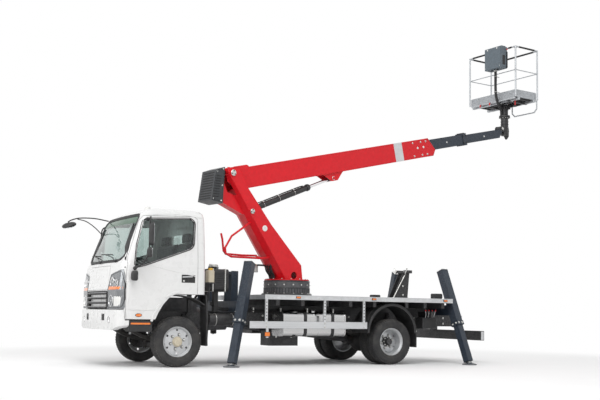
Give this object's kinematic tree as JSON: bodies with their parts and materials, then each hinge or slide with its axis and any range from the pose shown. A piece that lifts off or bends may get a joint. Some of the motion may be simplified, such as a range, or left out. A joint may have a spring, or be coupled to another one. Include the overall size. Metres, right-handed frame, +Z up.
{
  "type": "truck-mounted telescopic aerial work platform",
  "caption": "Light two-axle truck with a slewing column, telescopic lift boom, work basket, four extending outrigger legs, hollow cab with opening doors and twin rear wheels.",
  "frame": {"origin": "on the ground under the middle of the whole machine's box", "axes": "+X towards the truck's front, +Y to the driver's (left) side, +Z up"},
  "size_m": [9.7175, 3.2805, 6.435],
  "materials": {
    "frame_black": "satin",
    "axle_black": "dull",
    "spring_steel": "dull",
    "engine_iron": "rough",
    "cab_white": "gloss",
    "grille_black": "gloss",
    "lamp_clear": "clear",
    "window_glass": "tinted",
    "dash_plastic": "grained",
    "seat_fabric": "woven",
    "black_plastic": "grained",
    "deck_aluminium": "chequer plate",
    "guard_aluminium": "anodised",
    "tank_aluminium": "polished",
    "slate_paint": "satin",
    "tyre": "treaded",
    "rim_silver": "silver enamel",
    "boom_red": "gloss",
    "cover_grey": "satin",
    "chrome_rod": "polished",
    "basket_aluminium": "mill finish",
    "basket_grey": "satin",
    "box_grey": "satin"
  },
  "bodies": {
    "root": {"chassis_frame": "frame_black", "deck_bearers": "frame_black", "propshaft": "axle_black", "front_axle": "axle_black", "rear_axle": "axle_black", "leaf_springs": "spring_steel", "engine": "engine_iron", "front_bumper": "cab_white", "cab_shell": "cab_white", "grille": "grille_black", "headlamps": "lamp_clear", "cab_glass": "window_glass", "dashboard": "dash_plastic", "seats": "seat_fabric", "front_mirror": "black_plastic", "mudguards": "black_plastic", "deck": "deck_aluminium", "side_guards": "guard_aluminium", "fuel_tank": "tank_aluminium", "battery_box": "black_plastic", "oil_tank": "frame_black", "air_cleaner": "black_plastic", "outrigger_frames": "slate_paint", "boom_rest": "frame_black", "underrun_bar": "frame_black", "slew_ring": "frame_black"},
    "left_door": {"left_door": "cab_white", "left_door_glass": "window_glass", "left_mirror": "black_plastic"},
    "right_door": {"right_door": "cab_white", "right_door_glass": "window_glass", "right_mirror": "black_plastic"},
    "left_knuckle": {"left_knuckle": "axle_black"},
    "right_knuckle": {"right_knuckle": "axle_black"},
    "front_left_wheel": {"front_left_tyre": "tyre", "front_left_rim": "rim_silver"},
    "front_right_wheel": {"front_right_tyre": "tyre", "front_right_rim": "rim_silver"},
    "rear_left_wheels": {"rear_left_tyres": "tyre", "rear_left_rims": "rim_silver"},
    "rear_right_wheels": {"rear_right_tyres": "tyre", "rear_right_rims": "rim_silver"},
    "hood_hatch": {"hood_hatch": "cab_white"},
    "column": {"column": "boom_red", "column_cover": "cover_grey"},
    "lift_barrel": {"lift_barrel": "frame_black"},
    "lift_rod": {"lift_rod": "chrome_rod"},
    "boom_outer": {"boom_outer": "boom_red"},
    "boom_mid": {"boom_mid": "slate_paint"},
    "boom_inner": {"boom_inner": "slate_paint"},
    "boom_head": {"boom_head": "frame_black"},
    "basket": {"basket_frame": "basket_aluminium", "basket_floor": "basket_grey", "control_box": "box_grey", "cable_conduit": "black_plastic"},
    "front_left_leg": {"front_left_leg": "slate_paint"},
    "front_right_leg": {"front_right_leg": "slate_paint"},
    "rear_left_leg": {"rear_left_leg": "slate_paint"},
    "rear_right_leg": {"rear_right_leg": "slate_paint"}
  },
  "joints": [
    {"name": "left_door_hinge", "type": "hinge", "parent": "root", "child": "left_door", "pos_m": [4.377, 1.121, 1.4], "axis": [0, 0, -1], "range_deg": [0, 68]},
    {"name": "right_door_hinge", "type": "hinge", "parent": "root", "child": "right_door", "pos_m": [4.377, -0.827, 1.4], "axis": [0, 0, 1], "range_deg": [0, 68]},
    {"name": "hood_hinge", "type": "hinge", "parent": "root", "child": "hood_hatch", "pos_m": [4.508, 0.147, 1.511], "axis": [0, -1, 0], "range_deg": [0, 75]},
    {"name": "left_steer", "type": "hinge", "parent": "root", "child": "left_knuckle", "pos_m": [3.552, 0.892, 0.3835], "axis": [0, 0, 1], "range_deg": [-32, 32]},
    {"name": "right_steer", "type": "hinge", "parent": "root", "child": "right_knuckle", "pos_m": [3.552, -0.598, 0.3835], "axis": [0, 0, 1], "range_deg": [-32, 32]},
    {"name": "front_left_spin", "type": "hinge", "parent": "left_knuckle", "child": "front_left_wheel", "pos_m": [3.552, 0.991, 0.3835], "axis": [0, 1, 0], "continuous": true},
    {"name": "front_right_spin", "type": "hinge", "parent": "right_knuckle", "child": "front_right_wheel", "pos_m": [3.552, -0.697, 0.3835], "axis": [0, 1, 0], "continuous": true},
    {"name": "rear_left_spin", "type": "hinge", "parent": "root", "child": "rear_left_wheels", "pos_m": [-0.263, 0.939, 0.3835], "axis": [0, 1, 0], "continuous": true},
    {"name": "rear_right_spin", "type": "hinge", "parent": "root", "child": "rear_right_wheels", "pos_m": [-0.263, -0.645, 0.3835], "axis": [0, 1, 0], "continuous": true},
    {"name": "slew", "type": "hinge", "parent": "root", "child": "column", "pos_m": [1.227, 0.147, 1.39], "axis": [0, 0, 1], "range_deg": [-10, 350]},
    {"name": "boom_lift", "type": "hinge", "parent": "column", "child": "boom_outer", "pos_m": [2.5043, 0.37222, 3.104], "axis": [-0.1736, 0.9848, 0], "range_deg": [-30.2, 46.6]},
    {"name": "barrel_swing", "type": "hinge", "parent": "column", "child": "lift_barrel", "pos_m": [2.11333, 0.30328, 2.505], "axis": [-0.1736, 0.9848, 0], "range_deg": [-31.15, 47.8]},
    {"name": "rod_stroke", "type": "slide", "parent": "lift_barrel", "child": "lift_rod", "axis": [-0.9128, -0.161, 0.3752], "range_m": [-0.3421, 0.5224]},
    {"name": "boom_extend", "type": "slide", "parent": "boom_outer", "child": "boom_mid", "axis": [-0.9582, -0.1689, 0.2311], "range_m": [-0.7, 0.85]},
    {"name": "inner_extend", "type": "slide", "parent": "boom_mid", "child": "boom_inner", "axis": [-0.9582, -0.1689, 0.2311], "range_m": [-0.7, 0.85]},
    {"name": "basket_level", "type": "hinge", "parent": "boom_inner", "child": "boom_head", "pos_m": [-4.25907, -0.82034, 4.75355], "axis": [-0.1736, 0.9848, 0], "range_deg": [-47, 31]},
    {"name": "basket_turn", "type": "hinge", "parent": "boom_head", "child": "basket", "pos_m": [-4.42087, -0.84887, 5.03355], "axis": [0, 0, 1], "range_deg": [-90, 90]},
    {"name": "front_left_leg_slide", "type": "slide", "parent": "root", "child": "front_left_leg", "axis": [-0.2591, -0.2058, 0.9437], "range_m": [0, 0.5]},
    {"name": "front_right_leg_slide", "type": "slide", "parent": "root", "child": "front_right_leg", "axis": [-0.2591, 0.2058, 0.9437], "range_m": [0, 0.5]},
    {"name": "rear_left_leg_slide", "type": "slide", "parent": "root", "child": "rear_left_leg", "axis": [0.057, -0.3692, 0.9276], "range_m": [0, 0.5]},
    {"name": "rear_right_leg_slide", "type": "slide", "parent": "root", "child": "rear_right_leg", "axis": [0.057, 0.3692, 0.9276], "range_m": [0, 0.5]}
  ],
  "couplings": [
    {"joint": "right_steer", "follows": "left_steer", "ratio": 1},
    {"joint": "barrel_swing", "follows": "boom_lift", "ratio": 1.015},
    {"joint": "rod_stroke", "follows": "boom_lift", "m_per_rad": 0.63},
    {"joint": "inner_extend", "follows": "boom_extend", "ratio": 1},
    {"joint": "basket_level", "follows": "boom_lift", "ratio": -1}
  ]
}
